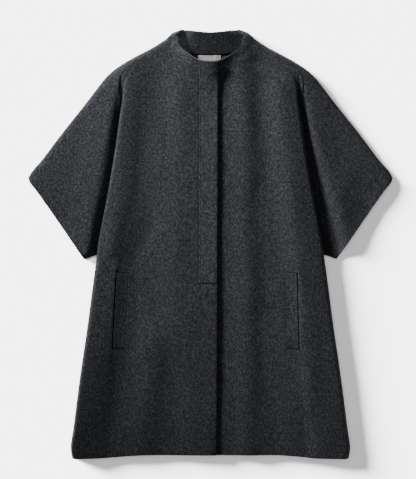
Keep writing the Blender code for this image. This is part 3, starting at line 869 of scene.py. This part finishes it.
def fibre(tree, entry):
    """One tapered fibre that starts at its origin, runs along +Y, bends sideways and arches."""
    strip = add(tree, "GeometryNodeMeshGrid", (-3, 4), inputs={"Vertices X": 2, "Vertices Y": 4})
    join(tree, entry, "Width", strip, "Size X")
    join(tree, entry, "Length", strip, "Size Y")
    place = add(tree, "GeometryNodeInputPosition", (-3, 6))
    parts = add(tree, "ShaderNodeSeparateXYZ", (-2, 6))
    join(tree, place, "Position", parts, 0)
    share = math_node(tree, (-1, 6), "DIVIDE", (parts, "Y"), (entry, "Length"))
    share = math_node(tree, (0, 6), "ADD", (share, 0), 0.5)
    square = math_node(tree, (1, 6), "MULTIPLY", (share, 0), (share, 0))
    narrow = math_node(tree, (1, 7), "MULTIPLY_ADD", (share, 0), -FIBRE_TAPER, 1.0)
    across = math_node(tree, (2, 7), "MULTIPLY", (parts, "X"), (narrow, 0))
    bend = math_node(tree, (2, 8), "MULTIPLY", (square, 0), FIBRE_BEND)
    bend = math_node(tree, (3, 8), "MULTIPLY_ADD", (bend, 0), (entry, "Length"), (across, 0))
    along = math_node(tree, (2, 6), "MULTIPLY", (share, 0), (entry, "Length"))
    arch = math_node(tree, (2, 5), "MULTIPLY_ADD", (square, 0), -FIBRE_FALL, (share, 0))
    arch = math_node(tree, (3, 5), "MULTIPLY", (arch, 0), FIBRE_LIFT)
    arch = math_node(tree, (4, 5), "MULTIPLY", (arch, 0), (entry, "Length"))
    moved = add(tree, "ShaderNodeCombineXYZ", (4, 6))
    join(tree, bend, 0, moved, "X")
    join(tree, along, 0, moved, "Y")
    join(tree, arch, 0, moved, "Z")
    shaped = add(tree, "GeometryNodeSetPosition", (5, 5))
    join(tree, strip, "Mesh", shaped, "Geometry")
    join(tree, moved, 0, shaped, "Position")
    return shaped


def nap_tree():
    """Short fibres on the outer face of a wall of cloth, lying mostly down the cape."""
    number = "NodeSocketFloat"
    tree, entry, result = new_tree(
        "Wool Nap",
        (
            ("Length", number), ("Width", number), ("Density", number), ("Seed", "NodeSocketInt"),
            ("Material", "NodeSocketMaterial"),
        ),
    )
    normal = add(tree, "GeometryNodeInputNormal", (-4, 2))
    parts = add(tree, "ShaderNodeSeparateXYZ", (-3, 2))
    join(tree, normal, "Normal", parts, 0)
    outer = math_node(tree, (-2, 2), "GREATER_THAN", (parts, "Z"), NAP_FACES_UP)
    roots = add(tree, "GeometryNodeDistributePointsOnFaces", (-1, 0))
    join(tree, entry, "Geometry", roots, "Mesh")
    join(tree, outer, 0, roots, "Selection")
    join(tree, entry, "Density", roots, "Density")
    join(tree, entry, "Seed", roots, "Seed")
    tone = add(tree, "FunctionNodeRandomValue", (-1, 2), data_type="FLOAT")
    toned = add(tree, "GeometryNodeStoreNamedAttribute", (1, 0), inputs={"Name": "tone"})
    join(tree, roots, "Points", toned, "Geometry")
    join(tree, tone, 1, toned, "Value")
    angles = add(tree, "FunctionNodeRandomValue", (0, 2), data_type="FLOAT_VECTOR", inputs={
        0: (NAP_PITCH[0], -NAP_ROLL, math.pi - NAP_TURN), 1: (NAP_PITCH[1], NAP_ROLL, math.pi + NAP_TURN),
        "Seed": 1,
    })
    lean = add(tree, "FunctionNodeEulerToRotation", (1, 2))
    join(tree, angles, 0, lean, "Euler")
    turn = add(tree, "FunctionNodeRotateRotation", (2, 2), rotation_space="LOCAL")
    join(tree, roots, "Rotation", turn, "Rotation")
    join(tree, lean, "Rotation", turn, "Rotate By")
    size = add(tree, "FunctionNodeRandomValue", (2, 3), data_type="FLOAT", inputs={
        2: NAP_SIZES[0], 3: NAP_SIZES[1], "Seed": 2,
    })
    fibres = add(tree, "GeometryNodeInstanceOnPoints", (4, 0))
    join(tree, toned, "Geometry", fibres, "Points")
    join(tree, fibre(tree, entry), "Geometry", fibres, "Instance")
    join(tree, turn, "Rotation", fibres, "Rotation")
    join(tree, size, 1, fibres, "Scale")
    finish_tree(tree, entry, result, fibres)
    return tree


def grown(name, mesh, tree, values):
    """A plain piece that a tree grows from a mesh, with values for the tree's named inputs."""
    item = new_object(name, mesh)
    modifier = item.modifiers.new("growth", "NODES")
    modifier.node_group = tree
    for socket in tree.interface.items_tree:
        if socket.in_out == "INPUT" and socket.name in values:
            modifier[socket.identifier] = values[socket.name]
    plain(item)
    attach(item, ROOT)
    return item


def row_mesh(name, rows):
    """Edge paths on the pieces' outer faces, from the points that each row passes."""
    points, edges = [], []
    for node, stations in rows:
        cloth = bpy.data.objects[node + "_cloth"].data
        surface = BVHTree.FromPolygons(
            [vert.co for vert in cloth.vertices], [face.vertices for face in cloth.polygons],
        )
        for start, end in zip(stations, stations[1:]):
            start, end = Vector(start), Vector(end)
            steps = max(1, round((end - start).length / ROW_STEP))
            for step in range(steps + 1):
                place = start.lerp(end, step / steps) * MM
                above = Vector((place.x, place.y, ROW_ABOVE * MM))
                hit = surface.ray_cast(above, Vector((0.0, 0.0, -1.0)))[0]
                if hit is None:
                    raise RuntimeError(f"a row of stitches misses {node} at {place.x:.3f}, {place.y:.3f}")
                if step:
                    edges.append((len(points) - 1, len(points)))
                points.append(hit - Vector((0.0, 0.0, STITCH_SINK * MM)))
    mesh = bpy.data.meshes.new(name)
    mesh.from_pydata(points, edges, [])
    return mesh


class CAPE_OT_stitches(bpy.types.Operator):
    """Sew the placket, both pocket welts and the label"""

    bl_idname = "cape.stitches"
    bl_label = "Stitches"

    def execute(self, context):
        sewing = settings().stitch
        low, high = (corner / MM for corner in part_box("label"))
        top = high.y - LABEL_MARGIN
        label_rows = (("label", ((low.x + LABEL_MARGIN, top), (high.x - LABEL_MARGIN, top))),)
        tree = stitch_tree()
        for name, rows, color, slot in (
            ("seam_stitches", SEAM_ROWS, sewing.dark, "felted_wool"),
            ("label_stitches", label_rows, sewing.pale, "label_cloth"),
        ):
            item = grown(name, row_mesh(name, rows), tree, {
                "Pitch": sewing.pitch, "Length": sewing.length, "Thread": sewing.thread,
                "Material": thread_material(name + "_thread", color, 0.6),
            })
        return {"FINISHED"}


class CAPE_OT_nap(bpy.types.Operator):
    """Grow the short nap on the outer faces of the wool"""

    bl_idname = "cape.nap"
    bl_label = "Nap"

    def execute(self, context):
        nap = settings().nap
        tree = nap_tree()
        material = nap_material()
        nodes = (
            "front_right", "front_left", "placket", "pocket_welt_right", "pocket_welt_left", "collar_back",
        )
        for index, node in enumerate(nodes):
            item = grown(node + "_nap", bpy.data.objects[node + "_cloth"].data.copy(), tree, {
                "Length": nap.length, "Width": nap.width, "Density": nap.density,
                "Seed": NAP_SEED + index, "Material": material,
            })
        return {"FINISHED"}


class CAPE_OT_stage(bpy.types.Operator):
    """Set up the pale floor, the lights on it and on the cape, and the camera straight above"""

    bl_idname = "cape.stage"
    bl_label = "Stage"

    def execute(self, context):
        stage = settings().stage
        pieces = [item for item in context.scene.objects if item.type == "MESH"]
        floor = self.floor(stage)
        self.camera()
        key = self.spot("key_light", stage.key_power, KEY_RADIUS, KEY_CONE)
        self.light(key, stage.height, stage.turn, pieces)
        neck = self.spot("neck_light", stage.neck_power, NECK_RADIUS, NECK_CONE)
        self.light(neck, NECK_HEIGHT, NECK_TURN, pieces, NECK_AIM, NECK_DISTANCE)
        sun = self.sun("floor_light", stage.floor_sun, FLOOR_SUN_ANGLE)
        self.light(sun, stage.floor_height, stage.floor_turn, [floor])
        fill = self.sun("floor_fill", stage.floor_fill, FLOOR_FILL_ANGLE)
        self.light(fill, STRAIGHT_ABOVE, 0.0, [floor])
        world = bpy.data.worlds.new("studio")
        world.use_nodes = True
        world.node_tree.nodes["Background"].inputs["Color"].default_value = grey(1.0)
        world.node_tree.nodes["Background"].inputs["Strength"].default_value = stage.sky
        context.scene.world = world
        return {"FINISHED"}

    def floor(self, stage):
        half, below = FLOOR_HALF * MM, -FLOOR_BELOW * MM
        mesh = bpy.data.meshes.new("floor")
        corners = [(-half, -half, below), (half, -half, below), (half, half, below), (-half, half, below)]
        mesh.from_pydata(corners, [], [(0, 1, 2, 3)])
        material, tree, shader = new_material("floor_paper")
        shader.inputs["Base Color"].default_value = list(stage.floor) + [1.0]
        shader.inputs["Roughness"].default_value = 0.9
        shader.inputs["Specular IOR Level"].default_value = 0.1
        floor = new_object("floor", mesh, material)
        # The floor's own lights are far brighter than the cape's, so none of theirs comes back onto the cape
        floor.visible_diffuse = False
        return floor

    def spot(self, name, power, radius, cone):
        data = bpy.data.lights.new(name, "SPOT")
        data.energy = power
        data.shadow_soft_size = radius * MM
        data.spot_size = cone
        data.spot_blend = 1.0
        return data

    def sun(self, name, strength, angle):
        data = bpy.data.lights.new(name, "SUN")
        data.energy = strength
        data.angle = angle
        return data

    def light(self, data, height, turn, lit, aim=KEY_AIM, distance=KEY_DISTANCE):
        """A light at a height above the floor and a turn round from the left, which lights some things."""
        level = math.cos(height)
        away = Vector((-level * math.cos(turn), level * math.sin(turn), math.sin(height)))
        item = bpy.data.objects.new(data.name, data)
        bpy.context.scene.collection.objects.link(item)
        item.location = (Vector(aim) + away * distance) * MM
        item.rotation_euler = away.to_track_quat("Z", "Y").to_euler()
        group = bpy.data.collections.new(data.name + "_lights")
        for piece in lit:
            group.objects.link(piece)
        item.light_linking.receiver_collection = group

    def camera(self):
        data = bpy.data.cameras.new("camera")
        data.sensor_width = SENSOR
        data.lens = SENSOR * (VIEW_HEIGHT - CLOTH_HEIGHT) / VIEW_LENGTH
        item = bpy.data.objects.new("camera", data)
        bpy.context.scene.collection.objects.link(item)
        item.location = (VIEW_CENTRE[0] * MM, VIEW_CENTRE[1] * MM, VIEW_HEIGHT * MM)
        bpy.context.scene.camera = item


class CAPE_OT_back(bpy.types.Operator):
    """Make the back, a wide panel with the backs of both sleeves"""

    bl_idname = "cape.back"
    bl_label = "Back"

    def execute(self, context):
        shape = merged("back")
        flat = [edge for edge in shape.edges if edge.is_manifold and edge.calc_face_angle() < FLAT_ANGLE]
        bmesh.ops.dissolve_edges(shape, edges=flat, use_verts=False)
        low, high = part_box("back")
        cell = BACK_CELL * MM
        for axis in (0, 1):
            for step in range(1, int((high[axis] - low[axis]) / cell) + 1):
                place, normal = Vector(), Vector()
                place[axis], normal[axis] = low[axis] + step * cell, 1.0
                everything = shape.verts[:] + shape.edges[:] + shape.faces[:]
                bmesh.ops.bisect_plane(
                    shape, geom=everything, dist=CUT_DISTANCE, plane_co=place, plane_no=normal,
                )
        mesh = bpy.data.meshes.new("back_cloth")
        shape.to_mesh(mesh)
        shape.free()
        item = new_object("back_cloth", mesh, wool_material("back"))
        round_edges(item)
        fronts = LowPlaces([bpy.data.objects[node + "_cloth"] for node in ("front_right", "front_left")])
        for vert in item.data.vertices:
            wave = noise.noise(Vector((vert.co.x, vert.co.y * BACK_STRETCH, 0.0)) / (BACK_WAVE * MM))
            vert.co.z += BACK_RISE * MM * fronts.freedom(vert.co) * smooth(BACK_STEEP * wave)
        item.data.shade_smooth()
        item.data.set_sharp_from_angle(angle=ROUND_ANGLE)
        lay(item, "back")
        return {"FINISHED"}


class CAPE_OT_fronts(bpy.types.Operator):
    """Make the two fronts, each with its sleeve and its part of the collar, and what is sewn on them"""

    bl_idname = "cape.fronts"
    bl_label = "Fronts, Placket and Welts"

    def execute(self, context):
        nodes = ("front_right", "front_left", "placket", "pocket_welt_right", "pocket_welt_left")
        items = {}
        for node in nodes:
            items[node] = shell(node, wool_material(node))
        low = LowPlaces([items["front_right"], items["front_left"]])
        crease_cloth(items.values(), low)
        lay(items["front_left"], "front_left")
        lay(items["front_right"], "front_right")
        lay(items["placket"], "placket")
        lay(items["pocket_welt_left"], "pocket_welt_left")
        lay(items["pocket_welt_right"], "pocket_welt_right")
        return {"FINISHED"}


class CAPE_OT_collar_back(bpy.types.Operator):
    """Make the back of the collar, which rises from the neck seam to its rim"""

    bl_idname = "cape.collar_back"
    bl_label = "Back of the Collar"

    def execute(self, context):
        item = shell("collar_back", wool_material("collar_back"))
        lay(item, "collar_back")
        return {"FINISHED"}


class CAPE_OT_label(bpy.types.Operator):
    """Make the blank woven label"""

    bl_idname = "cape.label"
    bl_label = "Label"

    def execute(self, context):
        item = shell("label", label_material(), levels=LABEL_LEVELS)
        middle, half_width, rise = LABEL_FOLD
        for vert in item.data.vertices:
            vert.co.z += rise * MM * math.exp(-((vert.co.x / MM - middle) / half_width) ** 2)
        lay(item, "label")
        return {"FINISHED"}


class CAPE_PT_panel(bpy.types.Panel):
    bl_idname = "CAPE_PT_panel"
    bl_label = "Wool Cape"
    bl_space_type = "VIEW_3D"
    bl_region_type = "UI"
    bl_category = "Cape"

    def draw(self, context):
        values = context.scene.cape
        for group in ("cloth", "wool", "nap", "stitch", "stage"):
            box = self.layout.box()
            part = getattr(values, group)
            for name in part.bl_rna.properties.keys():
                if name not in ("rna_type", "name"):
                    box.prop(part, name)
        for operator in OPERATORS:
            self.layout.operator(operator.bl_idname)


OPERATORS = (
    CAPE_OT_fronts,
    CAPE_OT_back,
    CAPE_OT_collar_back,
    CAPE_OT_label,
    CAPE_OT_stitches,
    CAPE_OT_nap,
    CAPE_OT_stage,
)
GROUPS = (CAPE_PG_cloth, CAPE_PG_wool, CAPE_PG_nap, CAPE_PG_stitch, CAPE_PG_stage, CAPE_PG_settings)
CLASSES = GROUPS + OPERATORS + (CAPE_PT_panel,)


def register():
    for item in CLASSES:
        bpy.utils.register_class(item)
    bpy.types.Scene.cape = PointerProperty(type=CAPE_PG_settings)


def unregister():
    del bpy.types.Scene.cape
    for item in reversed(CLASSES):
        bpy.utils.unregister_class(item)


def main():
    register()
    bpy.ops.cape.fronts()
    bpy.ops.cape.back()
    bpy.ops.cape.collar_back()
    bpy.ops.cape.label()
    bpy.ops.cape.stitches()
    bpy.ops.cape.nap()
    bpy.ops.cape.stage()


if __name__ == "__main__":
    main()
